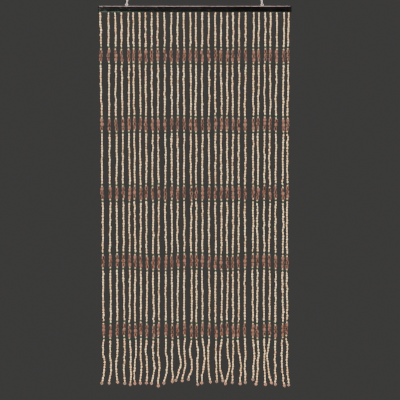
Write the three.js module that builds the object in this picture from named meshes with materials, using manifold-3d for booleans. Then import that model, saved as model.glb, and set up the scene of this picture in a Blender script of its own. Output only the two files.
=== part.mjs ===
// Beaded strand door curtain under its lacquered hanging bar, which hangs on two short chains.
// Millimetres. The origin is the middle of the bar's top face, +X runs to the viewer's right,
// +Y away from the viewer and +Z up. The strands hang down to about 1775 mm below the bar's top.

import * as THREE from 'three';
import { mergeVertices } from 'three/addons/utils/BufferGeometryUtils.js';
import Module from 'manifold-3d';

const wasm = await Module();
wasm.setup();

// Driving dimensions of the bar
const BAR_LENGTH = 900;
const BAR_HEIGHT = 28;
const BAR_DEPTH = 14;
const BAR_CHAMFER = 1.6;
const SEAT_GAP = 0.3;

// The groove under the bar, and the backing strip that lies in it and holds the strands' roots
const GROOVE_LENGTH = 886;
const GROOVE_WIDTH = 6;
const GROOVE_DEPTH = 4;
const STRIP_HEIGHT = 3.2;
const ROOT_SINK = 2.4;
const ROOT_WIDTH = 3.4;

// One strand: cut pieces of this width, swelling at five bands and at the end bead
const STRAND_SIDES = 4;
const PIECE_WIDTH = 7.3;
const PIECE_WIDTH_SPREAD = 0.5;
const SHOULDER_DROP = 31.5;
const BAND_COUNT = 5;
const FIRST_BAND_DROP = 231;
const BAND_PITCH = 319.5;
const BAND_LENGTH = 53;
const OVALS_IN_BAND = 3;
const OVAL_WIDTH = 15.2;
const NOTCH_WIDTH = 11.6;
const BAND_END_WIDTH = 9;
const BAND_STRAY = { atFirst: 2.2, morePerBand: 1.1 };
const END_BEAD_WIDTH = 14;
const END_BEAD_RISE = 7;
const END_BEAD_FALL = 6.5;
const END_BEAD_NECK_WIDTH = 6;
const BANDS_END_DROP = FIRST_BAND_DROP + (BAND_COUNT - 1) * BAND_PITCH + BAND_LENGTH / 2;

// Drops of the two bends in each tail, below the fifth band
const UPPER_BEND_DROP = 1604;
const LOWER_BEND_DROP = 1678;

// How far the outermost strands belly inwards halfway down; the middle ones hang straight
const INWARD_BELLY = 2;

// Small waves of a strand, sideways and front to back
const LONG_WAVE = { sideways: 1, forward: 1.6, length: 470 };
const SHORT_WAVE = { sideways: 0.8, forward: 0.8, length: 148 };
const TAIL_FORWARD = 5;
const GOLDEN_TURN = Math.PI * (3 - Math.sqrt(5));

// How each strand hangs, from left to right, read by eye off enlargements of the photograph with a
// ruler laid over them. hang: its root, from the bar's middle. lean: its drift at the fifth band.
// bend, swing and tip: how far the tail then goes to the side at its upper bend, at its lower bend
// and at the end bead. drop: the end bead below the bar's top.
const STRANDS = [
  { hang: -440, lean: 15, bend: -2, swing: 7, tip: -9, drop: 1755 },
  { hang: -402, lean: 10, bend: -1, swing: 2, tip: -5, drop: 1755 },
  { hang: -371, lean: 10, bend: 0, swing: -6, tip: -1, drop: 1751 },
  { hang: -343, lean: 14, bend: 3, swing: -1, tip: 2, drop: 1756 },
  { hang: -310, lean: 8, bend: 4, swing: 3, tip: 3, drop: 1762 },
  { hang: -287, lean: 11, bend: 1, swing: -5, tip: -4, drop: 1756 },
  { hang: -257, lean: 7, bend: 0, swing: 2, tip: -4, drop: 1756 },
  { hang: -230, lean: 7, bend: -4, swing: 0, tip: -1, drop: 1754 },
  { hang: -202, lean: 10, bend: -4, swing: 4, tip: -5, drop: 1756 },
  { hang: -173, lean: 6, bend: -2, swing: 3, tip: -6, drop: 1767 },
  { hang: -142, lean: 8, bend: -1, swing: 6, tip: -9, drop: 1756 },
  { hang: -110, lean: 5, bend: -1, swing: 1, tip: 3, drop: 1747 },
  { hang: -80, lean: 1, bend: 8, swing: 12, tip: -8, drop: 1742 },
  { hang: -51, lean: 3, bend: 0, swing: 3, tip: -8, drop: 1743 },
  { hang: -20, lean: 5, bend: -6, swing: 3, tip: -14, drop: 1738 },
  { hang: 5, lean: 3, bend: 5, swing: 4, tip: 4, drop: 1761 },
  { hang: 35, lean: 0, bend: 10, swing: 6, tip: -4, drop: 1754 },
  { hang: 65, lean: 3, bend: -5, swing: -4, tip: 5, drop: 1749 },
  { hang: 95, lean: 3, bend: 0, swing: 2, tip: 3, drop: 1747 },
  { hang: 123, lean: 3, bend: -5, swing: -8, tip: 6, drop: 1744 },
  { hang: 152, lean: 0, bend: 1, swing: 9, tip: -10, drop: 1757 },
  { hang: 178, lean: 0, bend: 2, swing: -2, tip: -2, drop: 1752 },
  { hang: 208, lean: -5, bend: 4, swing: 13, tip: 6, drop: 1757 },
  { hang: 237, lean: -4, bend: 2, swing: 0, tip: 3, drop: 1752 },
  { hang: 275, lean: -5, bend: 6, swing: 6, tip: 0, drop: 1738 },
  { hang: 299, lean: -8, bend: 4, swing: 2, tip: -4, drop: 1760 },
  { hang: 329, lean: -7, bend: 3, swing: 1, tip: 6, drop: 1760 },
  { hang: 354, lean: -6, bend: -5, swing: -7, tip: 9, drop: 1755 },
  { hang: 383, lean: -8, bend: -1, swing: 0, tip: 1, drop: 1760 },
  { hang: 416, lean: -7, bend: -3, swing: -3, tip: 6, drop: 1768 },
  { hang: 437, lean: -9, bend: 4, swing: 2, tip: 9, drop: 1763 },
];

// The two chains. Each starts at a screw eye, and leans towards the other at the top. Its first
// link is turned out of the bar's plane, and each next one a quarter turn further.
const CHAINS = [
  { side: 'left', eyeAt: -317, leanDegrees: 7, turnDegrees: 54 },
  { side: 'right', eyeAt: 314, leanDegrees: -6, turnDegrees: -54 },
];
const LINKS_IN_CHAIN = 3;
const EYE_RADIUS = 4.9;
const EYE_WIRE = 1.1;
const EYE_CENTRE_HEIGHT = 7;
const SHANK_RADIUS = 1.3;
const SHANK_DEPTH = 11;
const LINK_LENGTH = 17;
const LINK_WIDTH = 8.2;
const LINK_WIRE = 0.95;
const RING_RADIUS = 9;
const RING_WIRE = 1.2;
const WIRE_SIDES = 6;
const ROUND_STEPS = 16;
const RING_STEPS = 20;
const SHANK_SIDES = 8;
const HOLE_RADIUS = SHANK_RADIUS + SEAT_GAP / Math.cos(Math.PI / SHANK_SIDES);

const bambooMaterial = () =>
  new THREE.MeshStandardMaterial({ color: 0xcbbba0, roughness: 0.6, metalness: 0 });
const lacquerMaterial = () =>
  new THREE.MeshStandardMaterial({ color: 0x1b1a1a, roughness: 0.32, metalness: 0 });
const steelMaterial = () =>
  new THREE.MeshStandardMaterial({ color: 0xb9b2ae, roughness: 0.35, metalness: 1 });

// Turns a closed geometry into a solid that can be joined and cut.
function solidOf(geometry) {
  geometry.deleteAttribute('normal');
  geometry.deleteAttribute('uv');
  const merged = mergeVertices(geometry);
  const index = merged.index.array;
  const triangles = [];
  for (let i = 0; i < index.length; i += 3) {
    const [a, b, c] = [index[i], index[i + 1], index[i + 2]];
    if (a !== b && b !== c && c !== a) triangles.push(a, b, c);
  }
  const vertProperties = new Float32Array(merged.attributes.position.array);
  const triVerts = new Uint32Array(triangles);
  return new wasm.Manifold(new wasm.Mesh({ numProp: 3, vertProperties, triVerts }));
}

// Turns a solid back into a geometry for a mesh.
function geometryOf(solid) {
  const { vertProperties, triVerts } = solid.getMesh();
  const geometry = new THREE.BufferGeometry();
  geometry.setAttribute('position', new THREE.BufferAttribute(vertProperties, 3));
  geometry.setIndex(new THREE.BufferAttribute(triVerts, 1));
  geometry.computeVertexNormals();
  return geometry;
}

function namedMesh(name, geometry, material) {
  const mesh = new THREE.Mesh(geometry, material);
  mesh.name = name;
  return mesh;
}

// The bar: a lath with its long edges and its ends chamfered, a groove below for the backing
// strip and a blind hole above for each screw eye.
function barGeometry() {
  const y = BAR_DEPTH / 2;
  const c = BAR_CHAMFER;
  const section = new THREE.Shape([
    new THREE.Vector2(-y + c, 0),
    new THREE.Vector2(-y, -c),
    new THREE.Vector2(-y, -BAR_HEIGHT + c),
    new THREE.Vector2(-y + c, -BAR_HEIGHT),
    new THREE.Vector2(y - c, -BAR_HEIGHT),
    new THREE.Vector2(y, -BAR_HEIGHT + c),
    new THREE.Vector2(y, -c),
    new THREE.Vector2(y - c, 0),
  ]);
  const lath = new THREE.ExtrudeGeometry(section, {
    depth: BAR_LENGTH - 2 * c,
    bevelThickness: c,
    bevelSize: c,
    bevelOffset: -c,
    bevelSegments: 1,
  });
  lath.translate(0, 0, c - BAR_LENGTH / 2);
  const alongBar = new THREE.Matrix4().makeBasis(
    new THREE.Vector3(0, 1, 0),
    new THREE.Vector3(0, 0, 1),
    new THREE.Vector3(1, 0, 0),
  );
  lath.applyMatrix4(alongBar);

  const groove = new THREE.BoxGeometry(GROOVE_LENGTH, GROOVE_WIDTH, 2 * GROOVE_DEPTH);
  groove.translate(0, 0, -BAR_HEIGHT);
  let bar = solidOf(lath).subtract(solidOf(groove));
  for (const { eyeAt } of CHAINS) {
    const hole = shankGeometry(HOLE_RADIUS, SHANK_DEPTH + SEAT_GAP, SEAT_GAP);
    hole.translate(eyeAt, 0, 0);
    bar = bar.subtract(solidOf(hole));
  }
  return geometryOf(bar);
}

// An upright rod from a depth below the bar's top to a height above it.
function shankGeometry(radius, depth, height) {
  const rod = new THREE.CylinderGeometry(radius, radius, depth + height, SHANK_SIDES);
  rod.rotateX(Math.PI / 2);
  rod.translate(0, 0, (height - depth) / 2);
  return rod;
}

// Sideways and front-to-back place of a strand at any drop below the bar's top: a straight lean
// down to the fifth band, the tail's swing below it, and small waves that die out in the tail.
function strandRoute(strand, number) {
  const drops = [BANDS_END_DROP, UPPER_BEND_DROP, LOWER_BEND_DROP, strand.drop];
  const shifts = [0, strand.bend, strand.swing, strand.tip];
  const tailSwing = new THREE.CubicInterpolant(drops, shifts, 1);
  tailSwing.settings = {
    endingStart: THREE.ZeroSlopeEnding,
    endingEnd: THREE.ZeroCurvatureEnding,
  };
  const phase = number * GOLDEN_TURN;
  return (drop) => {
    const reached = Math.min(drop, strand.drop);
    const hung = Math.min(1, reached / BANDS_END_DROP);
    const outward = strand.hang / (BAR_LENGTH / 2);
    const belly = -INWARD_BELLY * outward * Math.sin(Math.PI * hung);
    const begun = THREE.MathUtils.smoothstep(reached, SHOULDER_DROP, FIRST_BAND_DROP);
    const tail = THREE.MathUtils.smoothstep(reached, BANDS_END_DROP, strand.drop);
    const long = (2 * Math.PI * reached) / LONG_WAVE.length;
    const short = (2 * Math.PI * reached) / SHORT_WAVE.length;
    const across =
      LONG_WAVE.sideways * Math.sin(long + phase) +
      SHORT_WAVE.sideways * Math.sin(short + 3 * phase);
    const forward =
      LONG_WAVE.forward * Math.sin(long + 2 * phase) +
      SHORT_WAVE.forward * Math.sin(short + 5 * phase);
    const swing = tailSwing.evaluate(reached)[0];
    return {
      x: strand.hang + strand.lean * hung + belly + across * begun * (1 - tail) + swing,
      y: forward * begun + TAIL_FORWARD * Math.sin(4 * phase) * tail,
    };
  };
}

// Drop of the middle of a band, which strays a little from strand to strand, more lower down.
function bandDrop(band, number) {
  const most = BAND_STRAY.atFirst + BAND_STRAY.morePerBand * band;
  const stray = most * Math.sin(number * GOLDEN_TURN * (band + 2));
  return FIRST_BAND_DROP + band * BAND_PITCH + stray;
}

// Widths of a strand on its way down: shoulder, a waist between the bands, three ovals in each
// band, the tail's two bends and the end bead.
function strandProfile(strand, number) {
  const pieceWidth = (drop) =>
    PIECE_WIDTH + PIECE_WIDTH_SPREAD * Math.sin(drop + number * GOLDEN_TURN);
  const stations = [{ drop: BAR_HEIGHT - GROOVE_DEPTH + ROOT_SINK, width: ROOT_WIDTH }];
  stations.push({ drop: SHOULDER_DROP, width: PIECE_WIDTH });
  const ovalLength = BAND_LENGTH / OVALS_IN_BAND;
  for (let band = 0; band < BAND_COUNT; band += 1) {
    const top = bandDrop(band, number) - BAND_LENGTH / 2;
    const above = band === 0 ? SHOULDER_DROP : bandDrop(band - 1, number) + BAND_LENGTH / 2;
    const between = (above + top) / 2;
    stations.push({ drop: between, width: pieceWidth(between) });
    stations.push({ drop: top, width: BAND_END_WIDTH });
    for (let oval = 0; oval < OVALS_IN_BAND; oval += 1) {
      const last = oval === OVALS_IN_BAND - 1;
      stations.push({ drop: top + (oval + 0.5) * ovalLength, width: OVAL_WIDTH });
      stations.push({
        drop: top + (oval + 1) * ovalLength,
        width: last ? BAND_END_WIDTH : NOTCH_WIDTH,
      });
    }
  }
  stations.push({ drop: UPPER_BEND_DROP, width: pieceWidth(UPPER_BEND_DROP) });
  stations.push({ drop: LOWER_BEND_DROP, width: pieceWidth(LOWER_BEND_DROP) });
  stations.push({ drop: strand.drop - END_BEAD_RISE, width: END_BEAD_NECK_WIDTH });
  stations.push({ drop: strand.drop, width: END_BEAD_WIDTH });
  return stations;
}

// One strand: a four-sided turned form of those widths, bent along its route.
function strandGeometry(strand, number) {
  const stations = strandProfile(strand, number);
  const outline = stations.map(({ drop, width }) => new THREE.Vector2(width / 2, -drop));
  outline.unshift(new THREE.Vector2(0, -stations[0].drop));
  outline.push(new THREE.Vector2(0, -strand.drop - END_BEAD_FALL));
  const geometry = new THREE.LatheGeometry(outline.reverse(), STRAND_SIDES);
  geometry.rotateX(Math.PI / 2);
  const route = strandRoute(strand, number);
  const position = geometry.attributes.position;
  for (let i = 0; i < position.count; i += 1) {
    const { x, y } = route(-position.getZ(i));
    position.setX(i, position.getX(i) + x);
    position.setY(i, position.getY(i) + y);
  }
  return geometry;
}

// All strands, fused at their roots to the backing strip that lies in the bar's groove.
function strandsGeometry() {
  const strip = new THREE.BoxGeometry(
    GROOVE_LENGTH - 2 * SEAT_GAP,
    GROOVE_WIDTH - 2 * SEAT_GAP,
    STRIP_HEIGHT,
  );
  strip.translate(0, 0, GROOVE_DEPTH - BAR_HEIGHT - SEAT_GAP - STRIP_HEIGHT / 2);
  let solid = solidOf(strip);
  STRANDS.forEach((strand, number) => {
    solid = solid.add(solidOf(strandGeometry(strand, number)));
  });
  return geometryOf(solid);
}

// A screw eye: a wire ring that faces the viewer, on a shank that goes into the bar.
function screwEyeGeometry() {
  const ring = new THREE.TorusGeometry(EYE_RADIUS, EYE_WIRE, WIRE_SIDES, ROUND_STEPS);
  ring.rotateX(Math.PI / 2);
  ring.translate(0, 0, EYE_CENTRE_HEIGHT);
  const shank = shankGeometry(SHANK_RADIUS, SHANK_DEPTH, EYE_CENTRE_HEIGHT - EYE_RADIUS);
  return geometryOf(solidOf(ring).add(solidOf(shank)));
}

// A chain link: a wire ring parted at its middle and drawn out to an oval, standing upright.
function linkGeometry() {
  const radius = LINK_WIDTH / 2 - LINK_WIRE;
  const link = new THREE.TorusGeometry(radius, LINK_WIRE, WIRE_SIDES, ROUND_STEPS);
  link.rotateZ(Math.PI / ROUND_STEPS);
  const straight = (LINK_LENGTH - LINK_WIDTH) / 2;
  const position = link.attributes.position;
  for (let i = 0; i < position.count; i += 1) {
    position.setY(i, position.getY(i) + Math.sign(position.getY(i)) * straight);
  }
  link.rotateX(Math.PI / 2);
  return link;
}

// The links and the end ring of one chain, each hooked in the one below it.
function chainGroup(side, leanDegrees, turnDegrees) {
  const chain = new THREE.Group();
  chain.rotation.y = THREE.MathUtils.degToRad(leanDegrees);
  const firstTurn = THREE.MathUtils.degToRad(turnDegrees);
  let wireTop = EYE_RADIUS;
  let wireBelow = EYE_WIRE;
  for (let number = 0; number < LINKS_IN_CHAIN; number += 1) {
    const link = namedMesh(`${side}_link_${number + 1}`, linkGeometry(), steelMaterial());
    const wireFoot = wireTop - wireBelow - SEAT_GAP - LINK_WIRE;
    link.position.z = wireFoot + LINK_LENGTH / 2 - LINK_WIRE;
    link.rotation.z = firstTurn + ((number % 2) * Math.PI) / 2;
    chain.add(link);
    wireTop = wireFoot + LINK_LENGTH - 2 * LINK_WIRE;
    wireBelow = LINK_WIRE;
  }
  const ringGeometry = new THREE.TorusGeometry(RING_RADIUS, RING_WIRE, WIRE_SIDES, RING_STEPS);
  ringGeometry.rotateX(Math.PI / 2);
  const ring = namedMesh(`${side}_end_ring`, ringGeometry, steelMaterial());
  ring.position.z = wireTop - wireBelow - SEAT_GAP - RING_WIRE + RING_RADIUS;
  chain.add(ring);
  return chain;
}

const curtain = new THREE.Group();
curtain.add(namedMesh('bar', barGeometry(), lacquerMaterial()));
curtain.add(namedMesh('strands', strandsGeometry(), bambooMaterial()));
for (const { side, eyeAt, leanDegrees, turnDegrees } of CHAINS) {
  const eye = namedMesh(`${side}_screw_eye`, screwEyeGeometry(), steelMaterial());
  eye.position.x = eyeAt;
  curtain.add(eye);
  const chain = chainGroup(side, leanDegrees, turnDegrees);
  chain.position.set(eyeAt, 0, EYE_CENTRE_HEIGHT);
  curtain.add(chain);
}

export default curtain;
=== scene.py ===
# Beaded strand door curtain: knobbly bamboo pieces on strings, with bands of discs, beads and
# shell-like ovals, under a black lacquered bar that hangs on two short chains. All in metres.
from math import asin, atan2, cos, pi, radians, sin, tau

import bmesh
import bpy
import numpy as np
from mathutils import Matrix, Vector


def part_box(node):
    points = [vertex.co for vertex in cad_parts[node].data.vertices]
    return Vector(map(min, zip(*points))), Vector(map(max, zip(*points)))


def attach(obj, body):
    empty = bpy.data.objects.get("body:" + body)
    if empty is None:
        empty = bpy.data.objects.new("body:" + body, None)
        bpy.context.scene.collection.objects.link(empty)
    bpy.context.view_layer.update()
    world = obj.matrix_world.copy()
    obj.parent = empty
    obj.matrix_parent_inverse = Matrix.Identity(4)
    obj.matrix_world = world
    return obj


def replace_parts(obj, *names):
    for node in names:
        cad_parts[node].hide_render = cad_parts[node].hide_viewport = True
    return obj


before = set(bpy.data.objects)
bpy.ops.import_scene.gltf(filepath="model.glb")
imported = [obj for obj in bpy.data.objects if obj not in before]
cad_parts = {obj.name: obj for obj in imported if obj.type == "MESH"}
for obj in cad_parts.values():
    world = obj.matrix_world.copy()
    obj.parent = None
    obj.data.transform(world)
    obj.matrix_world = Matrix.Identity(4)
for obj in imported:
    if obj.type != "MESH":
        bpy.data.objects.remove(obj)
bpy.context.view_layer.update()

# Camera
# It stands square to the curtain at half its height, as far off as a long lens needs. The places
# of the bar's ends and top edge in the square photograph set what the picture takes in.
PHOTO_SIDE_PX = 400
BAR_LEFT_PX = 98
BAR_RIGHT_PX = 291.5
BAR_TOP_PX = 6
CAMERA_AWAY = 7.0
SENSOR_MM = 36

bar_low, bar_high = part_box("bar")
metre_per_px = (bar_high.x - bar_low.x) / (BAR_RIGHT_PX - BAR_LEFT_PX)
aim_x = bar_low.x + (PHOTO_SIDE_PX / 2 - BAR_LEFT_PX) * metre_per_px
aim_z = bar_high.z - (PHOTO_SIDE_PX / 2 - BAR_TOP_PX) * metre_per_px
bpy.ops.object.camera_add(location=(aim_x, bar_low.y - CAMERA_AWAY, aim_z), rotation=(pi / 2, 0, 0))
camera = bpy.context.object
camera.name = "camera"
camera.data.sensor_width = SENSOR_MM
camera.data.lens = SENSOR_MM * CAMERA_AWAY / (PHOTO_SIDE_PX * metre_per_px)
bpy.context.scene.camera = camera

# Floor and studio light
# A plain pale floor 2.1 metres below the bar's top and a dim grey room all round. Two large soft
# and slightly warm lights stand in front to the left and right, a faint one hangs above for the
# bar's top edge, and a third large one stands behind.
FLOOR_DROP = 2.1
FLOOR_SIDE = 3.2
FLOOR_COLOUR = (0.62, 0.60, 0.57, 1)
ROOM_COLOUR = (0.052, 0.051, 0.050, 1)
LIGHT_COLOUR = (1.0, 0.93, 0.83)
LIGHTS = {
    "left_light": {"at": (-2.8, -3.4, 0.6), "aim": (0, 0, -0.9), "size": 3.0, "watts": 460},
    "right_light": {"at": (3.2, -3.4, 0.0), "aim": (0, 0, -0.9), "size": 3.0, "watts": 310},
    "top_light": {"at": (0, -0.9, 1.8), "aim": (0, 0, 0), "size": 1.6, "watts": 10},
    "back_light": {"at": (1.0, 3.6, 0.9), "aim": (0, 0, -0.9), "size": 3.0, "watts": 190},
}


class Tone:
    """A shader socket that Python's operators can reckon with."""

    def __init__(self, tree, socket=None):
        self.tree = tree
        self.socket = socket

    def node(self, kind, settings, inputs, output=0):
        """Adds a node: its settings first, then the values or links of its sockets."""
        made = self.tree.nodes.new(kind)
        for name, value in settings.items():
            if name == "stops":
                self.set_stops(made.color_ramp, value)
            else:
                setattr(made, name, value)
        for key, value in inputs.items():
            if isinstance(value, Tone):
                self.tree.links.new(value.socket, made.inputs[key])
            else:
                made.inputs[key].default_value = value
        return Tone(self.tree, made.outputs[output])

    @staticmethod
    def set_stops(ramp, stops):
        while len(ramp.elements) < len(stops):
            ramp.elements.new(0.5)
        for element, (position, colour) in zip(ramp.elements, stops):
            element.position = position
            element.color = colour

    def math(self, operation, first, second=0.0):
        return self.node("ShaderNodeMath", {"operation": operation}, {0: first, 1: second})

    def __add__(self, other):
        """A number plus a number, or a place moved by the same step along its three axes."""
        if self.socket.type == "VECTOR":
            step = other if isinstance(other, Tone) else (other, other, other)
            settings = {"operation": "ADD"}
            return self.node("ShaderNodeVectorMath", settings, {0: self, 1: step})
        return self.math("ADD", self, other)

    __radd__ = __add__

    def __mul__(self, other):
        return self.math("MULTIPLY", self, other)

    __rmul__ = __mul__

    def __sub__(self, other):
        return self.math("SUBTRACT", self, other)

    def __rsub__(self, other):
        return self.math("SUBTRACT", other, self)

    def __neg__(self):
        return self.math("SUBTRACT", 0.0, self)

    def __abs__(self):
        return self.math("ABSOLUTE", self)

    def least(self, other):
        return self.math("MINIMUM", self, other)

    def most(self, other):
        return self.math("MAXIMUM", self, other)

    def rise(self, low, high):
        """0 below low, 1 above high and smooth between them, or the other way if low is higher."""
        settings = {"interpolation_type": "SMOOTHSTEP"}
        inputs = {"Value": self, "From Min": low, "From Max": high}
        return self.node("ShaderNodeMapRange", settings, inputs)

    def between(self, first, second):
        """A colour from first to second, as this value goes from 0 to 1."""
        inputs = {0: self, 6: first, 7: second}
        return self.node("ShaderNodeMix", {"data_type": "RGBA"}, inputs, 2)

    def ramp(self, *stops):
        """A colour from stops of (position, colour), as this value goes from 0 to 1."""
        return self.node("ShaderNodeValToRGB", {"stops": stops}, {"Fac": self})

    def scaled(self, x, y, z):
        """This place with its axes stretched, for a pattern that runs one way."""
        return self.node("ShaderNodeMapping", {}, {"Vector": self, "Scale": (x, y, z)})

    def noise(self, scale, detail=2.0):
        """Soft noise from 0 to 1 at this place."""
        inputs = {"Vector": self, "Scale": scale, "Detail": detail}
        return self.node("ShaderNodeTexNoise", {}, inputs)

    def axes(self):
        """The three numbers of this place."""
        split = self.node("ShaderNodeSeparateXYZ", {}, {"Vector": self}).socket.node
        return [Tone(self.tree, output) for output in split.outputs]

    def bump(self, depth):
        """The surface raised by this value times depth."""
        return self.node("ShaderNodeBump", {}, {"Height": self, "Distance": depth})


def new_finish(name):
    """A material and its place socket, which reads Object coordinates."""
    material = bpy.data.materials.new(name)
    material.use_nodes = True
    place = Tone(material.node_tree).node("ShaderNodeTexCoord", {}, {}, "Object")
    return material, place


def set_surface(material, **sockets):
    """Sets or links the sockets of the material's surface shader, such as Base_Color."""
    surface = material.node_tree.nodes["Principled BSDF"]
    for name, value in sockets.items():
        socket = surface.inputs[name.replace("_", " ")]
        if isinstance(value, Tone):
            material.node_tree.links.new(value.socket, socket)
        else:
            socket.default_value = value


bpy.ops.mesh.primitive_plane_add(size=FLOOR_SIDE, location=(0, 0, -FLOOR_DROP))
floor = bpy.context.object
floor.name = "floor"
floor_finish, _ = new_finish("pale_floor")
set_surface(floor_finish, Base_Color=FLOOR_COLOUR, Roughness=0.7)
floor.data.materials.append(floor_finish)

room = bpy.data.worlds.new("room")
room.use_nodes = True
room.node_tree.nodes["Background"].inputs["Color"].default_value = ROOM_COLOUR
bpy.context.scene.world = room

for light_name, light in LIGHTS.items():
    towards = Vector(light["aim"]) - Vector(light["at"])
    turn = towards.to_track_quat("-Z", "Y").to_euler()
    bpy.ops.object.light_add(type="AREA", location=light["at"], rotation=turn)
    lamp = bpy.context.object
    lamp.name = light_name
    lamp.data.size = light["size"]
    lamp.data.energy = light["watts"]
    lamp.data.color = LIGHT_COLOUR

# Hanging bar
# A planed lath of soft wood in black lacquer, with its arrises rounded by hand and rubbed pale.
# Their paleness is partly a painted highlight, pinkish along the top and green-grey below.
# A shallow groove under it holds the backing strip, so the strands seem to start at the wood.
ARRIS = 0.0016
GROOVE_LENGTH = 0.886
GROOVE_WIDTH = 0.006
GROOVE_DEPTH = 0.004
LATH_PARTS = 48
LATH_WAVE = 0.00018
# Radians per metre of the lath's three slight waves
LONG_WAVE = 31
SHORT_WAVE = 83
UPRIGHT_WAVE = 23
# The lacquer is painted greyer at the left end and near black at the right: a painted sheen from
# the left light.
LACQUER_LEFT = (0.0022, 0.0028, 0.0031, 1)
LACQUER_RIGHT = (0.0006, 0.0006, 0.0006, 1)
DUST = (0.022, 0.023, 0.022, 1)
# Colours of the rubbed arrises, partly painted highlight: pale pink on top, green-grey below,
# brightest at the left.
RUBBED_AND_HIGHLIT = (0.52, 0.39, 0.43, 1)
GREEN_LEFT = (0.12, 0.24, 0.19, 1)
GREEN_RIGHT = (0.020, 0.036, 0.028, 1)
SPECKS = (0.22, 0.22, 0.21, 1)


def only(picked):
    """Makes one object the only one that operators act on."""
    bpy.ops.object.select_all(action="DESELECT")
    picked.select_set(True)
    bpy.context.view_layer.objects.active = picked


def edit(picked):
    """Enters edit mode on one object, with nothing selected."""
    only(picked)
    bpy.ops.object.mode_set(mode="EDIT")
    bpy.ops.mesh.select_all(action="DESELECT")


def choose(picked, kind, test):
    """In edit mode, selects the elements of a kind, verts, edges or faces, that pass a test."""
    mode = {"verts": "VERT", "edges": "EDGE", "faces": "FACE"}[kind]
    bpy.ops.mesh.select_mode(type=mode)
    bpy.ops.mesh.select_all(action="DESELECT")
    shell = bmesh.from_edit_mesh(picked.data)
    for element in getattr(shell, kind):
        element.select_set(bool(test(element)))
    shell.select_flush_mode()
    bmesh.update_edit_mesh(picked.data)


def settle(picked, name, material):
    """Puts a finished piece's place in its mesh, names it, paints it and lets it ride."""
    only(picked)
    bpy.ops.object.transform_apply(location=True, rotation=True, scale=True)
    picked.name = name
    picked.data.name = name
    picked.data.materials.clear()
    picked.data.materials.append(material)
    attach(picked, "root")
    return picked


bar_size = bar_high - bar_low
bpy.ops.mesh.primitive_cube_add(size=1, location=(bar_low + bar_high) / 2)
bar = bpy.context.object
bar.scale = bar_size
only(bar)
bpy.ops.object.transform_apply(location=True, rotation=True, scale=True)
edit(bar)
choose(bar, "faces", lambda face: face.normal.z < -0.9)
bpy.ops.mesh.inset(thickness=(bar_size.y - GROOVE_WIDTH) / 2)
inner_length = bar_size.x - (bar_size.y - GROOVE_WIDTH)
bpy.ops.transform.resize(value=(GROOVE_LENGTH / inner_length, 1, 1))
bpy.ops.mesh.extrude_region_move(TRANSFORM_OT_translate={"value": (0, 0, GROOVE_DEPTH)})
outer = [half - 1e-5 for half in bar_size / 2]


def on_outer_arris(edge):
    """True for the twelve outer edges of the lath, which get the rounding."""
    middle = (edge.verts[0].co + edge.verts[1].co) / 2 - (bar_low + bar_high) / 2
    faces_met = [abs(part) > half for part, half in zip(middle, outer)]
    return sum(faces_met) == 2


choose(bar, "edges", on_outer_arris)
bpy.ops.mesh.bevel(offset=ARRIS, segments=3, affect="EDGES")
for number in range(1, LATH_PARTS):
    cut_x = bar_low.x + bar_size.x * number / LATH_PARTS
    bpy.ops.mesh.select_all(action="SELECT")
    bpy.ops.mesh.bisect(plane_co=(cut_x, 0, 0), plane_no=(1, 0, 0))
bpy.ops.object.mode_set(mode="OBJECT")
for vertex in bar.data.vertices:
    ripple = sin(vertex.co.x * SHORT_WAVE + 2 * vertex.co.z / bar_size.z)
    swell = sin(vertex.co.x * LONG_WAVE) + 0.6 * ripple
    vertex.co.y += LATH_WAVE * swell * (1 if vertex.co.y > 0 else -1) * 0.5
    vertex.co.z += LATH_WAVE * sin(vertex.co.x * UPRIGHT_WAVE + 1) * 0.5
only(bar)
bpy.ops.object.shade_smooth_by_angle(angle=radians(35))

lacquer, place = new_finish("black_lacquer")
x, y, z = place.axes()
to_ends = bar_size.x / 2 - abs(x)
to_faces = bar_size.y / 2 - abs(y)
to_edges = (-z).least(z + bar_size.z)
to_arris = to_ends.least(to_faces).most(to_ends.most(to_faces).least(to_edges))
chipping = place.scaled(90, 400, 400).noise(1.0, 4.0)
fine_chipping = place.noise(900.0, 2.0)
reach = 0.0004 + 0.0024 * chipping + 0.0006 * fine_chipping
# The rubbed arrises; the pale colour given to them below is partly a painted highlight.
wear_and_highlight = (reach - to_arris).rise(0.0, 0.0006) * to_ends.rise(0.002, 0.008)
upper = z.rise(-0.020, -0.004)
clouds = place.scaled(9, 30, 30).noise(1.0, 3.0)
grain = place.scaled(14, 520, 520).noise(1.0, 5.0)
# Painted sheen: the black is greyer at the left end, and the pale specks grow fewer to the right
# with it.
painted_sheen_fade = x.rise(bar_low.x, bar_high.x)
black = painted_sheen_fade.between(LACQUER_LEFT, LACQUER_RIGHT)
dusty = (clouds.rise(0.45, 0.85) * 0.3).between(black, DUST)
specks = place.scaled(70, 500, 500).noise(1.0, 5.0).rise(0.62, 0.72)
speckled = (specks * (1 - 0.8 * painted_sheen_fade) * 0.36).between(dusty, SPECKS)
# Painted highlight on the arrises: green-grey on the lower ones, brightest at the left end, pale
# pink on the top ones.
lower_rubbed_and_highlit = x.rise(bar_low.x - 0.05, bar_low.x + 0.30).between(GREEN_LEFT, GREEN_RIGHT)
rubbed_and_highlit_edge = upper.between(lower_rubbed_and_highlit, RUBBED_AND_HIGHLIT)
set_surface(
    lacquer,
    Base_Color=(wear_and_highlight * (0.50 + 0.50 * chipping)).between(speckled, rubbed_and_highlit_edge),
    Roughness=0.26 + 0.14 * clouds + 0.10 * grain + 0.5 * wear_and_highlight.most(to_ends.rise(0.006, 0.002)),
    Specular_IOR_Level=0.07,
    Coat_Roughness=0.12,
    Coat_Weight=0.03 * (1 - wear_and_highlight.most(to_ends.rise(0.006, 0.002))),
    Normal=(grain - wear_and_highlight * 0.5).bump(0.00022),
)
settle(bar, "hanging_bar", lacquer)
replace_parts(bar, "bar")

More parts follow.
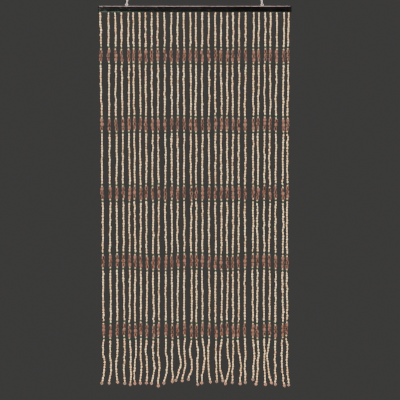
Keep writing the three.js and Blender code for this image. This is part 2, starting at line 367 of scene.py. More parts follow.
# Screw eyes
# Plated steel wire, one about a seventh of the bar's length in from each end. The wire's free
# end stops short of its neck, runs round the ring, bends down at the neck and goes into the wood
# as the screw's shank.
EYE_RADIUS = 0.0049
EYE_WIRE = 0.0011
EYE_START = radians(-62)
NECK_RADIUS = 0.0018
SHANK_SUNK = 0.004
WIRE_SIDES = 8
STEEL_LIGHT = (0.80, 0.72, 0.70, 1)
STEEL_DULL = (0.40, 0.33, 0.30, 1)

steel, place = new_finish("plated_steel")
tarnish = place.noise(420.0, 4.0)
scratches = place.scaled(300, 300, 2600).noise(1.0, 2.0)
set_surface(
    steel,
    Base_Color=tarnish.rise(0.50, 0.72).between(STEEL_LIGHT, STEEL_DULL),
    Metallic=1 - 0.35 * tarnish.rise(0.52, 0.8),
    Roughness=0.26 + 0.30 * tarnish + 0.08 * scratches,
    Normal=scratches.bump(0.00003),
)

tuck = asin(NECK_RADIUS / (EYE_RADIUS + NECK_RADIUS))
eye_centres = {}
for side in ("left", "right"):
    eye_low, eye_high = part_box(f"{side}_screw_eye")
    centre = Vector(((eye_low.x + eye_high.x) / 2, 0, eye_high.z - EYE_RADIUS - EYE_WIRE))
    eye_centres[side] = centre
    free_end = centre + EYE_RADIUS * Vector((cos(EYE_START), 0, sin(EYE_START)))
    bpy.ops.mesh.primitive_circle_add(
        vertices=WIRE_SIDES,
        radius=EYE_WIRE,
        fill_type="NGON",
        location=free_end,
        rotation=(0, -EYE_START, 0),
    )
    eye = bpy.context.object
    edit(eye)
    bpy.ops.mesh.select_all(action="SELECT")
    ring_turn = 1.5 * pi - tuck - EYE_START
    bpy.ops.mesh.spin(steps=26, angle=ring_turn, center=centre, axis=(0, 1, 0))
    neck_drop = (EYE_RADIUS + NECK_RADIUS) * cos(tuck)
    neck_centre = centre - Vector((NECK_RADIUS, 0, neck_drop))
    bpy.ops.mesh.spin(steps=5, angle=tuck - pi / 2, center=neck_centre, axis=(0, 1, 0))
    bpy.ops.mesh.extrude_region_move(TRANSFORM_OT_translate={"value": (0, 0, -SHANK_SUNK)})
    bpy.ops.mesh.select_all(action="SELECT")
    bpy.ops.mesh.normals_make_consistent(inside=False)
    bpy.ops.object.mode_set(mode="OBJECT")
    bpy.ops.object.shade_smooth_by_angle(angle=radians(60))
    settle(eye, f"{side}_eye", steel)
    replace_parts(eye, f"{side}_screw_eye")

# Chain links and end rings
# Short links of slightly thinner wire, bent oval and butt welded on one side. They hang half open
# to the viewer, each turned a quarter from the last. The plain welded ring at the end is of
# slightly thicker wire and goes over a hook.
LINK_LENGTH = 0.017
LINK_WIDTH = 0.0082
LINK_WIRE = 0.00095
LINKS_IN_CHAIN = 3
RING_RADIUS = 0.009
RING_WIRE = 0.0012
WELD_SWELL = 1.25
FIRST_TURN = {"left": radians(54), "right": radians(-54)}


def welded_ring(radius, wire, stretch, steps):
    """A wire ring that faces the viewer, drawn out upwards, with a weld on its left side."""
    bpy.ops.mesh.primitive_torus_add(
        major_segments=steps,
        minor_segments=WIRE_SIDES,
        major_radius=radius,
        minor_radius=wire,
        rotation=(pi / 2, 0, 0),
    )
    ring = bpy.context.object
    only(ring)
    bpy.ops.object.transform_apply(location=True, rotation=True, scale=True)
    edit(ring)
    for way in (-1, 1):
        choose(ring, "verts", lambda vertex: vertex.co.z * way > 1e-5)
        bpy.ops.transform.translate(value=(0, 0, way * stretch))
    choose(ring, "verts", lambda vertex: abs(vertex.co.z) < 1e-5 and vertex.co.x < 0)
    swell = (WELD_SWELL, WELD_SWELL, 1)
    bpy.ops.transform.resize(value=swell, center_override=(-radius, 0, 0))
    bpy.ops.object.mode_set(mode="OBJECT")
    bpy.ops.object.shade_smooth()
    return ring


for side, eye_centre in eye_centres.items():
    ring_low, ring_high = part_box(f"{side}_end_ring")
    ring_centre = (ring_low + ring_high) / 2
    chain = ring_centre - eye_centre
    lean = Matrix.Rotation(atan2(chain.x, chain.z), 4, "Y")
    ring = welded_ring(RING_RADIUS, RING_WIRE, 0, 36)
    ring.matrix_world = Matrix.Translation(ring_centre) @ lean
    settle(ring, f"{side}_ring", steel)
    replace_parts(ring, f"{side}_end_ring")
    for number in range(1, LINKS_IN_CHAIN + 1):
        link_low, link_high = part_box(f"{side}_link_{number}")
        stretch = (LINK_LENGTH - LINK_WIDTH) / 2
        link = welded_ring(LINK_WIDTH / 2 - LINK_WIRE, LINK_WIRE, stretch, 20)
        turn = Matrix.Rotation(FIRST_TURN[side] + (number - 1) * pi / 2, 4, "Z")
        link.matrix_world = Matrix.Translation((link_low + link_high) / 2) @ lean @ turn
        settle(link, f"{side}_chain_link_{number}", steel)
        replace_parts(link, f"{side}_link_{number}")

# Routes of the strands
# The strings hang as the curtain's solid does. Each strand of it is read back as rings of four
# corners, which give the string's line, the middles of its ovals and that of its end bead. Then
# the pieces are counted off along it, and the string runs straight from joint to joint.
LEVEL_STEP = 0.0005
WIDE_RING = 0.012
OVALS_IN_BAND = 3
DISC_LENGTH = 0.0076
BEAD_LENGTH = 0.0062
OVAL_LENGTH = 0.0185
END_HEIGHT = 0.0128
PIECE_LENGTHS = (0.0104, 0.0146)
TOP_ROOM = 0.0006
# A string of short stiff pieces keeps small kinks, larger ones in the loose tails
KINK_STEP = 0.023
KINK_DROPS = np.arange(0.04, 1.83, KINK_STEP)
KINK_SIZES = np.interp(KINK_DROPS, (0.04, 0.07, 1.52, 1.64), (0, 0.00045, 0.00045, 0.0013))
JOINT_PLAY = 0.0008
BAND_JOINT_PLAY = 0.0006

band_order = [("disc", DISC_LENGTH), ("bead", BEAD_LENGTH)]
band_order += [("oval", OVAL_LENGTH)] * OVALS_IN_BAND
band_order += [("bead", BEAD_LENGTH), ("disc", DISC_LENGTH)]
half_band = sum(length for kind, length in band_order) / 2


def islands(shell, keep):
    """Groups of joined vertices among those that keep lets through."""
    waiting = {vertex.index: vertex for vertex in shell.verts if keep(vertex)}
    groups = []
    while waiting:
        reached = [waiting.pop(min(waiting))]
        for vertex in reached:
            for link_edge in vertex.link_edges:
                other = link_edge.other_vert(vertex)
                if waiting.pop(other.index, None) is not None:
                    reached.append(other)
        groups.append(np.array([vertex.co[:] for vertex in reached]))
    return groups


def levels_of(corners):
    """Middles and widths of a strand's rings, from the top down."""
    corners = corners[np.argsort(-corners[:, 2])]
    breaks = np.flatnonzero(-np.diff(corners[:, 2]) > LEVEL_STEP) + 1
    rings = np.split(corners, breaks)
    middles = np.array([ring.mean(axis=0) for ring in rings])
    widths = np.array([np.ptp(ring[:, 0]) for ring in rings])
    return middles, widths


def smooth_places(line, drops):
    """Points on a smooth curve through a line's points, at drops below the origin."""
    depth = -line[:, 2]
    slopes = np.gradient(line[:, :2], depth, axis=0)
    start = np.clip(np.searchsorted(depth, drops) - 1, 0, len(depth) - 2)
    span = depth[start + 1] - depth[start]
    t = np.clip((drops - depth[start]) / span, 0, 1)[:, None]
    span = span[:, None]
    flat = (
        (2 * t**3 - 3 * t**2 + 1) * line[start, :2]
        + (t**3 - 2 * t**2 + t) * span * slopes[start]
        + (3 * t**2 - 2 * t**3) * line[start + 1, :2]
        + (t**3 - t**2) * span * slopes[start + 1]
    )
    return np.column_stack([flat, -drops])


def count_off(bands, end, chance):
    """Kinds of a strand's pieces from the top down, and the drops of the joints round them."""
    kinds = []
    joints = [-bar_low.z + TOP_ROOM]

    def fill(stop):
        """Adds bamboo pieces down to a drop."""
        lengths = []
        while sum(lengths) < stop - joints[-1]:
            lengths.append(chance.uniform(*PIECE_LENGTHS))
        steps = np.cumsum(lengths) * (stop - joints[-1]) / sum(lengths)
        kinds.extend(["bamboo"] * len(lengths))
        joints.extend((joints[-1] + steps).tolist())

    for middle in bands:
        fill(middle - half_band)
        for kind, length in band_order:
            kinds.append(kind)
            joints.append(joints[-1] + length)
    fill(end - END_HEIGHT / 2)
    kinds.append("end")
    joints.append(end + END_HEIGHT / 2)
    return kinds, np.array(joints)


solid = bmesh.new()
solid.from_mesh(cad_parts["strands"].data)
bmesh.ops.remove_doubles(solid, verts=solid.verts[:], dist=1e-6)
solid.verts.index_update()
groups = islands(solid, lambda vertex: vertex.co.z < bar_low.z - LEVEL_STEP)
solid.free()
groups.sort(key=lambda corners: corners[corners[:, 2].argmax(), 0])

strands = []
for number, corners in enumerate(groups, 1):
    chance = np.random.default_rng(number)
    line, widths = levels_of(corners)
    wide_drops = -line[widths > WIDE_RING, 2]
    bands = wide_drops[:-1].reshape(-1, OVALS_IN_BAND).mean(axis=1)
    kinds, joints = count_off(bands, wide_drops[-1], chance)
    points = smooth_places(line, joints)
    for axis in (0, 1):
        kinks = chance.normal(0, 1, len(KINK_DROPS)) * KINK_SIZES
        points[:, axis] += np.interp(joints, KINK_DROPS, kinks)
    play = [JOINT_PLAY if kind == "bamboo" else BAND_JOINT_PLAY for kind in kinds[:-2]]
    points[1:-2, :2] += chance.normal(0, 1, (len(play), 2)) * np.array(play)[:, None]
    points[-1, :2] = 2 * points[-2, :2] - points[-3, :2]
    strands.append({"number": number, "kinds": kinds, "points": points})


def threaded(kind, among=strands):
    """The upper and lower string point of every piece of a kind, strand by strand."""
    found = []
    for strand in among:
        pairs = zip(strand["kinds"], strand["points"][:-1], strand["points"][1:])
        found += [(upper, lower) for here, upper, lower in pairs if here == kind]
    return found


# Backing strip
# A narrow woven tape lies in the bar's groove, and all the strings are sewn to it.
TAPE_GAP = 0.0003
TAPE_HEIGHT = 0.0032
COTTON = (0.30, 0.22, 0.14, 1)
COTTON_DARK = (0.12, 0.08, 0.05, 1)

tape_top = bar_low.z + GROOVE_DEPTH - TAPE_GAP
bpy.ops.mesh.primitive_cube_add(size=1, location=(0, 0, tape_top - TAPE_HEIGHT / 2))
tape = bpy.context.object
tape.scale = (GROOVE_LENGTH - 2 * TAPE_GAP, GROOVE_WIDTH - 2 * TAPE_GAP, TAPE_HEIGHT)
only(tape)
bpy.ops.object.transform_apply(location=True, rotation=True, scale=True)
edit(tape)
choose(tape, "edges", lambda edge: True)
bpy.ops.mesh.bevel(offset=0.0006, segments=2, affect="EDGES")
bpy.ops.object.mode_set(mode="OBJECT")
weave, place = new_finish("woven_tape")
over = place.scaled(1500, 1500, 1500).noise(1.0, 1.0)
set_surface(
    weave,
    Base_Color=over.rise(0.35, 0.65).between(COTTON_DARK, COTTON),
    Roughness=0.9,
    Normal=over.bump(0.0004),
)
settle(tape, "backing_strip", weave)
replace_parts(tape, "strands")

# Bamboo pieces
# Short lengths of knobbly bamboo twig, peeled and sawn off, threaded end to end. Each has one or
# two raised node rings, is a little crooked and waisted, and narrows to its dark sawn ends.
# Their darkness is partly end grain and partly painted shade at the joints.
PIECE_SIDES = 8
PIECE_WIDTH = 0.0058
PIECE_WIDTH_SPREAD = 0.0008
LEAST_WIDTH = 0.0042
PIECE_GAP = 0.0015
PIECE_PLAY = 0.0006
MOST_PLAY = 0.0010
PIECE_FLATNESS = (0.9, 1.0)
STRAND_TONES = (0.08, 0.34)
TONE_SPREAD = 0.26
# Each blank is a list of rings from one end to the other: the share of its length, its width as a
# share of the piece's, its shift to the side in half widths, and 1 where it is a node ring
BLANKS = {
    "one_node": (
        (0, 0.48, 0, 0), (0.15, 0.88, 0, 0), (0.35, 1.10, 0.10, 0), (0.47, 1.34, 0.20, 1),
        (0.60, 1.08, 0.10, 0), (0.86, 0.86, 0, 0), (1, 0.48, -0.03, 0),
    ),
    "near_end": (
        (0, 0.50, 0.06, 0), (0.12, 1.02, 0.16, 0), (0.24, 1.34, 0.26, 1), (0.38, 1.10, 0.12, 0),
        (0.64, 0.92, -0.04, 0), (0.86, 0.90, -0.12, 0), (1, 0.48, -0.08, 0),
    ),
    "two_nodes": (
        (0, 0.50, -0.06, 0), (0.20, 1.20, -0.18, 1), (0.34, 1.00, -0.04, 0),
        (0.56, 1.04, 0.12, 0), (0.70, 1.32, 0.26, 1), (0.85, 0.92, 0.08, 0), (1, 0.48, 0, 0),
    ),
    "thick_end": (
        (0, 0.52, 0.05, 0), (0.12, 1.10, 0.15, 0), (0.25, 1.38, 0.22, 1), (0.44, 1.14, 0.10, 0),
        (0.70, 0.88, -0.08, 0), (0.87, 0.86, -0.14, 0), (1, 0.48, -0.06, 0),
    ),
    "budded": (
        (0, 0.48, 0, 0), (0.15, 0.88, 0, 0), (0.40, 1.06, 0.05, 0), (0.50, 1.28, 0.08, 1),
        (0.60, 1.04, 0.05, 0), (0.85, 0.88, 0, 0), (1, 0.48, 0, 0),
    ),
}
BLANK_SHARES = (0.25, 0.22, 0.20, 0.21, 0.12)
BUD_REACH = 0.20


def turned_blank(name, rings, sides):
    """A round piece one unit long and two wide, whose rings are moved and scaled one by one."""
    bpy.ops.mesh.primitive_cylinder_add(vertices=sides, radius=1, depth=1)
    blank = bpy.context.object
    blank.name = name
    edit(blank)
    choose(blank, "edges", lambda edge: abs(edge.verts[0].co.z - edge.verts[1].co.z) > 0.5)
    bpy.ops.mesh.subdivide(number_cuts=len(rings) - 2)
    levels = [number / (len(rings) - 1) - 0.5 for number in range(len(rings))]
    shell = bmesh.from_edit_mesh(blank.data)
    members = [{v.index for v in shell.verts if abs(v.co.z - z) < 1e-3} for z in levels]
    for level, ring_members, (share, width, shift, _) in zip(levels, members, rings):
        choose(blank, "verts", lambda vertex: vertex.index in ring_members)
        bpy.ops.transform.resize(value=(width, width, 1), center_override=(0, 0, level))
        bpy.ops.transform.translate(value=(shift, 0, share - 0.5 - level))
    bpy.ops.object.mode_set(mode="OBJECT")
    return blank


def shape_of(blank, mark):
    """A modelled shape as arrays, which are copied for each place, and the model removed. Each
    vertex also gets its mark, a number that the material reads."""
    corners = np.array([vertex.co[:] for vertex in blank.data.vertices])
    faces = [tuple(face.vertices) for face in blank.data.polygons]
    marks = np.array([mark(vertex) for vertex in blank.data.vertices])
    bpy.data.objects.remove(blank)
    return {"corners": corners, "faces": faces, "marks": marks}


def joined(name, shapes, places, material, crease=55):
    """One mesh with a copy of a shape at each place. A place has its shape, its matrix without
    size, its size and its tone. The copies keep their own coordinates for the material."""
    corners = []
    faces = []
    own = []
    marks = []
    tones = []
    counted = 0
    for shape_name, turn, size, tone in places:
        shape = shapes[shape_name]
        sized = shape["corners"] * np.array(size)
        turn = np.array(turn)
        corners.append(sized @ turn[:3, :3].T + turn[:3, 3])
        faces += [tuple(counted + corner for corner in face) for face in shape["faces"]]
        own.append(sized)
        marks.append(shape["marks"])
        tones.append(np.full(len(sized), tone))
        counted += len(sized)
    data = bpy.data.meshes.new(name)
    data.from_pydata(np.concatenate(corners).tolist(), [], faces)
    own_places = data.attributes.new("own", "FLOAT_VECTOR", "POINT")
    own_places.data.foreach_set("vector", np.concatenate(own).astype(np.float32).ravel())
    for attribute_name, values in (("mark", marks), ("tone", tones)):
        attribute = data.attributes.new(attribute_name, "FLOAT", "POINT")
        attribute.data.foreach_set("value", np.concatenate(values).astype(np.float32))
    piece = bpy.data.objects.new(name, data)
    bpy.context.scene.collection.objects.link(piece)
    only(piece)
    bpy.ops.object.shade_smooth_by_angle(angle=radians(crease))
    settle(piece, name, material)
    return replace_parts(piece, "strands")


def read_attributes(place):
    """The own coordinates, mark and tone that joined() gives each corner."""
    def read(name, output):
        return place.node("ShaderNodeAttribute", {"attribute_name": name}, {}, output)
    return read("own", "Vector"), read("mark", "Fac"), read("tone", "Fac")


def threaded_turn(upper, lower, facing):
    """The matrix of a piece threaded between two points of the string. Its front looks at the
    viewer, or away from there by an angle of facing."""
    axis = Vector(upper - lower).normalized()
    side_way = axis.cross(Vector((sin(facing), -cos(facing), 0))).normalized()
    turn = Matrix((side_way, axis.cross(side_way), axis)).transposed()
    return Matrix.Translation(Vector((upper + lower) / 2)) @ turn.to_4x4()


blank_shapes = {}
for blank_name, rings in BLANKS.items():
    blank = turned_blank(blank_name, rings, PIECE_SIDES)
    node_heights = {round(share - 0.5, 3) for share, _, _, node in rings if node}
    if blank_name == "budded":
        edit(blank)
        choose(blank, "faces", lambda face: face.normal.x > 0.7
               and abs(face.calc_center_median().z) < 0.06)
        bpy.ops.mesh.extrude_region_move(TRANSFORM_OT_translate={"value": (BUD_REACH, 0, 0)})
        bpy.ops.transform.resize(value=(1, 0.75, 0.75))
        bpy.ops.object.mode_set(mode="OBJECT")

    def bamboo_mark(vertex, heights=node_heights):
        """1 on a node ring, -1 on a sawn end and 0 elsewhere."""
        if abs(abs(vertex.co.z) - 0.5) < 1e-3:
            return -1.0
        return 1.0 if round(vertex.co.z, 3) in heights else 0.0

    blank_shapes[blank_name] = shape_of(blank, bamboo_mark)

# From cream pieces over warmer ones to brown ones, which all hang side by side
BAMBOO_TONES = (
    (0.00, (1.00, 0.82, 0.50, 1)),
    (0.30, (1.00, 0.70, 0.38, 1)),
    (0.55, (1.00, 0.63, 0.33, 1)),
    (0.80, (0.66, 0.41, 0.22, 1)),
    (1.00, (0.40, 0.24, 0.13, 1)),
)
NODE_SCAR = (0.36, 0.21, 0.11, 1)
# The sawn ends' dark brown is partly their end grain and partly painted shade at the joints between
# pieces.
SAWN_AND_JOINT_SHADE = (0.20, 0.12, 0.06, 1)
STAIN = (0.46, 0.30, 0.16, 1)

bamboo, place = new_finish("bamboo_twig")
own, mark, tone = read_attributes(place)
fibre = (own + tone).scaled(2200, 2200, 130).noise(1.0, 3.0)
blotch = (own + tone).scaled(260, 260, 150).noise(1.0, 3.0)
peeled = tone.ramp(*BAMBOO_TONES)
streaked = (fibre.rise(0.52, 0.80) * 0.45).between(peeled, STAIN)
stained = (blotch.rise(0.58, 0.78) * 0.45).between(streaked, STAIN)
scar = mark.rise(0.72, 0.98)
scarred = (scar * 0.62).between(stained, NODE_SCAR)
# Painted shade at the joints over the dark end grain, fading in from each sawn end
sawn_end_and_joint_shade = mark.rise(-0.05, -0.90)
set_surface(
    bamboo,
    Base_Color=(sawn_end_and_joint_shade * 0.92).between(scarred, SAWN_AND_JOINT_SHADE),
    Roughness=0.55 + 0.22 * fibre + 0.15 * sawn_end_and_joint_shade,
    Specular_IOR_Level=0.3,
    Normal=(0.6 * fibre + 0.5 * blotch - scar).bump(0.0003),
)

for strand in strands:
    chance = np.random.default_rng(100 + strand["number"])
    strand_tone = chance.uniform(*STRAND_TONES)
    places = []
    for upper, lower in threaded("bamboo", [strand]):
        aside = np.append(chance.normal(0, PIECE_PLAY, 2).clip(-MOST_PLAY, MOST_PLAY), 0)
        length = np.linalg.norm(upper - lower) - PIECE_GAP
        width = max(chance.normal(PIECE_WIDTH, PIECE_WIDTH_SPREAD), LEAST_WIDTH)
        if chance.random() < 0.5:
            upper, lower = lower, upper
        turn = threaded_turn(upper + aside, lower + aside, chance.uniform(0, tau))
        blank_name = str(chance.choice(list(BLANKS), p=BLANK_SHARES))
        size = (width / 2, width / 2 * chance.uniform(*PIECE_FLATNESS), length)
        tone_here = float(np.clip(strand_tone + chance.normal(0, TONE_SPREAD), 0, 1))
        places.append((blank_name, turn, size, tone_here))
    joined(f"bamboo_strand_{strand['number']:02d}", blank_shapes, places, bamboo)

# Band ovals
# Three shell-like ovals in each band, smooth and a little egg-shaped. The front is rose-brown with
# a dark mouth along it, and the back a salmon colour. The middle one sometimes has side knobs.
# The flanks and knob tips are painted paler, a painted rim light.
OVAL_WIDTH = 0.0138
OVAL_DEPTH = 0.0118
OVAL_PLAY = 0.0008
MIDDLE_GROWTH = 1.05
OVAL_GROWTH = (0.90, 1.04)
FRONT_SHARE = 0.72
FACING_SPREAD = 0.35
KNOBBED_SHARE = 0.4
OVAL_TONES = (
    (0.00, (0.060, 0.026, 0.020, 1)),
    (0.30, (0.100, 0.042, 0.031, 1)),
    (0.55, (0.115, 0.058, 0.045, 1)),
    (0.80, (0.165, 0.062, 0.036, 1)),
    (1.00, (0.105, 0.068, 0.058, 1)),
)
OVAL_BACK = (0.178, 0.073, 0.047, 1)
OVAL_PALE = (0.265, 0.155, 0.118, 1)
OVAL_DARK = (0.050, 0.022, 0.018, 1)
MOUTH = (0.022, 0.006, 0.004, 1)


def round_blank(columns, rings, pole):
    """A ball two units wide, its poles up and down or to front and back, a column to the front."""
    turn = (0, 0, pi / columns) if pole == "Z" else (pi / 2, 0, 0)
    bpy.ops.mesh.primitive_uv_sphere_add(
        segments=columns,
        ring_count=rings,
        radius=1,
        rotation=turn,
    )
    ball = bpy.context.object
    only(ball)
    bpy.ops.object.transform_apply(location=True, rotation=True, scale=True)
    edit(ball)
    return ball


def picked_out(shape):
    """Numbers of the vertices that are selected in edit mode."""
    shell = bmesh.from_edit_mesh(shape.data)
    return {vertex.index for vertex in shell.verts if vertex.select}


oval_shapes = {}
for oval_name in ("plain", "knobbed"):
    oval = round_blank(10, 8, "Z")
    for ring_height, fuller in ((0.924, 1.85), (0.707, 1.30), (0.383, 1.07)):
        choose(oval, "verts", lambda vertex: abs(abs(vertex.co.z) - ring_height) < 0.02)
        bpy.ops.transform.resize(value=(fuller, fuller, 1), center_override=(0, 0, 0))
    choose(oval, "verts", lambda vertex: vertex.co.z > 0.1)
    bpy.ops.transform.resize(value=(0.92, 0.92, 1), center_override=(0, 0, 0))
    choose(oval, "verts", lambda vertex: vertex.co.y < -0.7 and abs(vertex.co.x) < 0.4
           and 0.3 < abs(vertex.co.z) < 0.5)
    bpy.ops.transform.resize(value=(0.66, 1, 1.45), center_override=(0, 0, 0))
    choose(oval, "verts", lambda vertex: vertex.co.y < -0.7 and abs(vertex.co.x) < 0.4
           and abs(vertex.co.z) < 0.1)
    bpy.ops.transform.resize(value=(1.08, 1, 1), center_override=(0, 0, 0))
    knobs = set()
    if oval_name == "knobbed":
        for way in (-1, 1):
            choose(oval, "faces", lambda face: face.normal.x * way > 0.7
                   and abs(face.calc_center_median().z) < 0.3)
            bpy.ops.mesh.inset(thickness=0.06)
            bpy.ops.transform.translate(value=(0.16 * way, 0, 0))
            bpy.ops.transform.resize(value=(1, 0.7, 0.6))
            knobs |= picked_out(oval)
    choose(oval, "faces", lambda face: face.normal.y < -0.8
           and abs(face.calc_center_median().x) < 0.1 and abs(face.calc_center_median().z) < 0.4)
    bpy.ops.mesh.inset(thickness=0.04)
    bpy.ops.transform.translate(value=(0, 0.46, 0))
    mouth = picked_out(oval)
    bpy.ops.object.mode_set(mode="OBJECT")

    def oval_mark(vertex):
        """1 in the mouth, -1 on a knob's tip and 0 elsewhere."""
        if vertex.index in mouth:
            return 1.0
        return -1.0 if vertex.index in knobs else 0.0

    oval_shapes[oval_name] = shape_of(oval, oval_mark)

shell, place = new_finish("shell_oval")
own, mark, tone = read_attributes(place)
across, through, _ = own.axes()
moved = own + tone
rings_of_growth = moved.scaled(120, 120, 700).noise(1.0, 3.0)
patches = moved.noise(190.0, 2.0)
dapples = (moved + 0.7).noise(240.0, 2.0)
rounded_back = through.rise(0.0005, 0.0045)
body = rounded_back.between(tone.ramp(*OVAL_TONES), OVAL_BACK)
ringed = (rings_of_growth.rise(0.50, 0.75) * 0.30).between(body, OVAL_PALE)
patched = (patches.rise(0.48, 0.62) * 0.38).between(ringed, OVAL_PALE)
dappled = (dapples.rise(0.55, 0.68) * 0.60).between(patched, OVAL_DARK)
# Painted rim light: the flanks and knob tips are paler, as where the side lights graze them
painted_rim_light = abs(across).rise(0.0034, 0.0060).most(mark.rise(-0.2, -0.9))
rim_lit_oval = (painted_rim_light * 0.44).between(dappled, OVAL_PALE)
set_surface(
    shell,
    Base_Color=mark.rise(0.15, 0.60).between(rim_lit_oval, MOUTH),
    Roughness=0.45 + 0.22 * patches + 0.3 * mark.rise(0.15, 0.60),
    Specular_IOR_Level=0.25,
    Normal=(rings_of_growth + 0.5 * dapples).bump(0.00025),
)

chance = np.random.default_rng(300)
places = []
for index, (upper, lower) in enumerate(threaded("oval")):
    in_middle = index % OVALS_IN_BAND == 1
    facing = (0 if chance.random() < FRONT_SHARE else pi) + chance.normal(0, FACING_SPREAD)
    aside = np.append(chance.normal(0, OVAL_PLAY, 2), 0)
    if chance.random() < 0.5:
        upper, lower = lower, upper
    turn = threaded_turn(upper + aside, lower + aside, facing)
    grow = chance.uniform(*OVAL_GROWTH) * (MIDDLE_GROWTH if in_middle else 1)
    size = (OVAL_WIDTH / 2 * grow, OVAL_DEPTH / 2 * grow, OVAL_LENGTH / 2 - 0.0001)
    oval_name = "knobbed" if in_middle and chance.random() < KNOBBED_SHARE else "plain"
    places.append((oval_name, turn, size, chance.random()))
joined("band_ovals", oval_shapes, places, shell, crease=60)

# Cream beads
# A turned cream bead sits at each end of a band. It is barrel-shaped, and its bore shows as a
# small dark dimple at either end.
BEAD_WIDTH = 0.0073
BEAD_GROWTH = (0.94, 1.04)
BEAD_CREAM = (0.68, 0.48, 0.29, 1)
BEAD_SHADE = (0.50, 0.35, 0.21, 1)
BORE = (0.12, 0.08, 0.05, 1)

bead = round_blank(10, 6, "Z")
choose(bead, "verts", lambda vertex: 0.8 < abs(vertex.co.z) < 0.9)
bpy.ops.transform.resize(value=(1.35, 1.35, 1.06), center_override=(0, 0, 0))
choose(bead, "verts", lambda vertex: abs(vertex.co.z) > 0.99)
bpy.ops.transform.resize(value=(1, 1, 0.72), center_override=(0, 0, 0))
bpy.ops.object.mode_set(mode="OBJECT")
bead_shapes = {"bead": shape_of(bead, lambda vertex: float(vertex.co.xy.length < 0.01))}

turned_bead, place = new_finish("cream_bead")
own, mark, tone = read_attributes(place)
bead_grain = (own + tone).scaled(900, 900, 220).noise(1.0, 3.0)
lit_bead = (bead_grain.rise(0.4, 0.8) * 0.6 + 0.3 * tone).between(BEAD_CREAM, BEAD_SHADE)
set_surface(
    turned_bead,
    Base_Color=mark.rise(0.45, 0.9).between(lit_bead, BORE),
    Roughness=0.42 + 0.2 * bead_grain,
    Normal=bead_grain.bump(0.0002),
)

chance = np.random.default_rng(400)
places = []
for upper, lower in threaded("bead"):
    turn = threaded_turn(upper, lower, chance.uniform(0, tau))
    width = BEAD_WIDTH * chance.uniform(*BEAD_GROWTH)
    places.append(("bead", turn, (width / 2, width / 2, BEAD_LENGTH / 2), chance.random()))
joined("cream_beads", bead_shapes, places, turned_bead, crease=60)

# Green discs
# A thick green disc with a bevelled rim closes each end of a band. It hangs a little askew, and
# some are more olive than the rest.
DISC_WIDTH = 0.0099
DISC_GAP = 0.0002
DISC_GROWTH = (0.94, 1.04)
DISC_ASKEW = 0.06
GREEN_TONES = (
    (0.00, (0.006, 0.026, 0.016, 1)),
    (0.45, (0.012, 0.048, 0.030, 1)),
    (0.80, (0.024, 0.060, 0.040, 1)),
    (1.00, (0.044, 0.044, 0.024, 1)),
)
GREEN_DARK = (0.005, 0.016, 0.011, 1)

bpy.ops.mesh.primitive_cylinder_add(vertices=12, radius=1, depth=2)
disc = bpy.context.object
edit(disc)
choose(disc, "edges", lambda edge: abs(edge.verts[0].co.z - edge.verts[1].co.z) < 0.1)
bpy.ops.mesh.bevel(offset=0.22, segments=1, affect="EDGES")
choose(disc, "faces", lambda face: abs(face.normal.z) > 0.9)
bpy.ops.mesh.inset(thickness=0.35)
bpy.ops.transform.resize(value=(1, 1, 0.86), center_override=(0, 0, 0))
bpy.ops.object.mode_set(mode="OBJECT")
disc_shapes = {"disc": shape_of(disc, lambda vertex: float(vertex.co.xy.length > 0.84))}

green, place = new_finish("green_disc")
own, mark, tone = read_attributes(place)
scuffs = (own + tone).scaled(700, 700, 1600).noise(1.0, 4.0)
set_surface(
    green,
    Base_Color=(scuffs.rise(0.50, 0.75) * 0.5).between(tone.ramp(*GREEN_TONES), GREEN_DARK),
    Roughness=0.5 + 0.25 * scuffs - 0.1 * mark,
    Specular_IOR_Level=0.3,
    Normal=scuffs.bump(0.0002),
)

chance = np.random.default_rng(500)
places = []
for upper, lower in threaded("disc"):
    askew = Matrix.Rotation(chance.normal(0, DISC_ASKEW), 4, "X")
    turn = threaded_turn(upper, lower, chance.uniform(0, tau)) @ askew
    width = DISC_WIDTH * chance.uniform(*DISC_GROWTH)
    size = (width / 2, width / 2, DISC_LENGTH / 2 - DISC_GAP)
    places.append(("disc", turn, size, chance.random()))
joined("green_discs", disc_shapes, places, green)

# End beads
# A fat salmon or mauve shell bead closes each string. Some are round and some narrow to a blunt
# point below. Most show a round hollow in their front, warm brown inside a pale rim.
END_WIDTH = 0.0142
END_DEPTH = 0.0128
END_GROWTH = (0.95, 1.02)
END_FRONT_SHARE = 0.65
END_FACING_SPREAD = 0.45
HEART_SHARE = 0.4
END_TONES = (
    (0.00, (0.50, 0.22, 0.14, 1)),
    (0.35, (0.38, 0.21, 0.16, 1)),
    (0.65, (0.25, 0.14, 0.12, 1)),
    (1.00, (0.30, 0.19, 0.15, 1)),
)
END_RIM = (0.52, 0.36, 0.29, 1)
HOLLOW_TONES = (
    (0.00, (0.24, 0.085, 0.048, 1)),
    (0.40, (0.34, 0.14, 0.055, 1)),
    (0.70, (0.11, 0.055, 0.042, 1)),
    (1.00, (0.16, 0.090, 0.065, 1)),
)

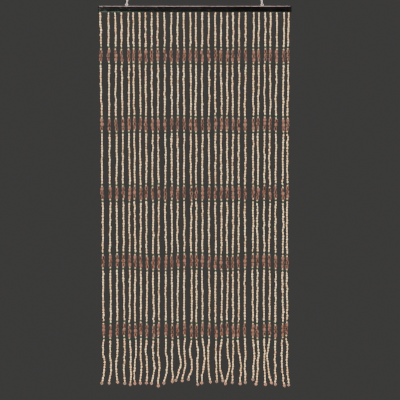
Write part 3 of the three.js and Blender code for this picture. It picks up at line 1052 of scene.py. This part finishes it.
tip_shapes = {}
for tip_name, foot_width, foot_length in (("round", 1.08, 0.96), ("heart", 0.86, 1.08)):
    tip = round_blank(12, 8, "Y")
    choose(tip, "faces", lambda face: face.calc_center_median().y < -0.75)
    bpy.ops.mesh.inset(thickness=0.09)
    bpy.ops.transform.translate(value=(0, 0.20, 0))
    bpy.ops.mesh.inset(thickness=0.10)
    bpy.ops.transform.translate(value=(0, 0.22, 0))
    bpy.ops.transform.resize(value=(1, 0.3, 1))
    hollow = picked_out(tip)
    choose(tip, "verts", lambda vertex: vertex.co.z < -0.3)
    foot_size = (foot_width, foot_width, foot_length)
    bpy.ops.transform.resize(value=foot_size, center_override=(0, 0, 0))
    choose(tip, "verts", lambda vertex: vertex.co.z > 0.6)
    bpy.ops.transform.resize(value=(1.12, 1.12, 0.94), center_override=(0, 0, 0))
    bpy.ops.object.mode_set(mode="OBJECT")

    def tip_mark(vertex):
        """1 in the hollow, -1 on its rim and 0 elsewhere."""
        if vertex.index in hollow:
            return 1.0
        return -1.0 if vertex.co.y < -0.55 else 0.0

    tip_shapes[tip_name] = shape_of(tip, tip_mark)

end_shell, place = new_finish("end_shell")
own, mark, tone = read_attributes(place)
end_mottle = (own + tone).noise(230.0, 2.0)
end_rings = (own + tone).scaled(150, 150, 700).noise(1.0, 2.0)
end_ringed = (end_rings.rise(0.45, 0.75) * 0.3).between(tone.ramp(*END_TONES), OVAL_PALE)
end_patched = (end_mottle.rise(0.52, 0.66) * 0.5).between(end_ringed, OVAL_PALE)
rimmed = (mark.rise(-0.3, -0.9) * 0.7).between(end_patched, END_RIM)
set_surface(
    end_shell,
    Base_Color=mark.rise(0.1, 0.7).between(rimmed, tone.ramp(*HOLLOW_TONES)),
    Roughness=0.40 + 0.2 * end_mottle,
    Specular_IOR_Level=0.3,
    Normal=(end_rings + end_mottle).bump(0.0003),
)

chance = np.random.default_rng(600)
places = []
for upper, lower in threaded("end"):
    facing = 0 if chance.random() < END_FRONT_SHARE else pi
    turn = threaded_turn(upper, lower, facing + chance.normal(0, END_FACING_SPREAD))
    grow = chance.uniform(*END_GROWTH)
    size = (END_WIDTH / 2 * grow, END_DEPTH / 2 * grow, END_HEIGHT / 2)
    tip_name = "heart" if chance.random() < HEART_SHARE else "round"
    places.append((tip_name, turn, size, chance.random()))
joined("end_beads", tip_shapes, places, end_shell, crease=60)

# Strings
# Each strand is threaded on one twisted cotton string. It starts in the tape, bends at the joints
# and is tied in a small knot under the end bead. Only the knot and short stretches show.
STRING_RADIUS = 0.0007
STRING_SIDES = 5
KNOT_STEPS = (0.0, 0.0009, 0.0018, 0.0023)
KNOT_RADII = (0.0011, 0.0013, 0.0011, 0.0007)


def string_mesh(points, radii):
    """Corners and faces of a thin many-sided string, closed at both ends."""
    angles = np.arange(STRING_SIDES) * tau / STRING_SIDES
    round_it = np.column_stack([np.cos(angles), np.sin(angles), np.zeros(STRING_SIDES)])
    corners = points[:, None, :] + radii[:, None, None] * round_it[None, :, :]
    faces = [tuple(range(STRING_SIDES))]
    last = (len(points) - 1) * STRING_SIDES
    for ring_start in range(0, last, STRING_SIDES):
        for side_number in range(STRING_SIDES):
            beside = (side_number + 1) % STRING_SIDES
            lower = ring_start + STRING_SIDES
            faces.append((
                ring_start + side_number,
                lower + side_number,
                lower + beside,
                ring_start + beside,
            ))
    faces.append(tuple(last + side for side in reversed(range(STRING_SIDES))))
    return corners.reshape(-1, 3), faces


corner_lists = []
face_list = []
counted = 0
for strand in strands:
    joints = strand["points"]
    sewn = np.array([joints[0, 0], 0, tape_top - TAPE_HEIGHT + 0.001])
    knot = [joints[-1] - np.array([0, 0, step]) for step in KNOT_STEPS]
    points = np.vstack([sewn, joints[:-1], knot])
    radii = np.append(np.full(len(joints), STRING_RADIUS), KNOT_RADII)
    corners, faces = string_mesh(points, radii)
    corner_lists.append(corners)
    face_list += [tuple(counted + corner for corner in face) for face in faces]
    counted += len(corners)
string_data = bpy.data.meshes.new("strings")
string_data.from_pydata(np.concatenate(corner_lists).tolist(), [], face_list)
strings = bpy.data.objects.new("strings", string_data)
bpy.context.scene.collection.objects.link(strings)
only(strings)
bpy.ops.object.shade_smooth()

cotton, place = new_finish("cotton")
twist = place.scaled(1400, 1400, 500).noise(1.0, 2.0)
set_surface(
    cotton,
    Base_Color=twist.rise(0.3, 0.7).between(COTTON_DARK, COTTON),
    Roughness=0.85 + 0.1 * twist,
    Normal=twist.bump(0.0003),
)
settle(strings, "strings", cotton)
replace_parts(strings, "strands")
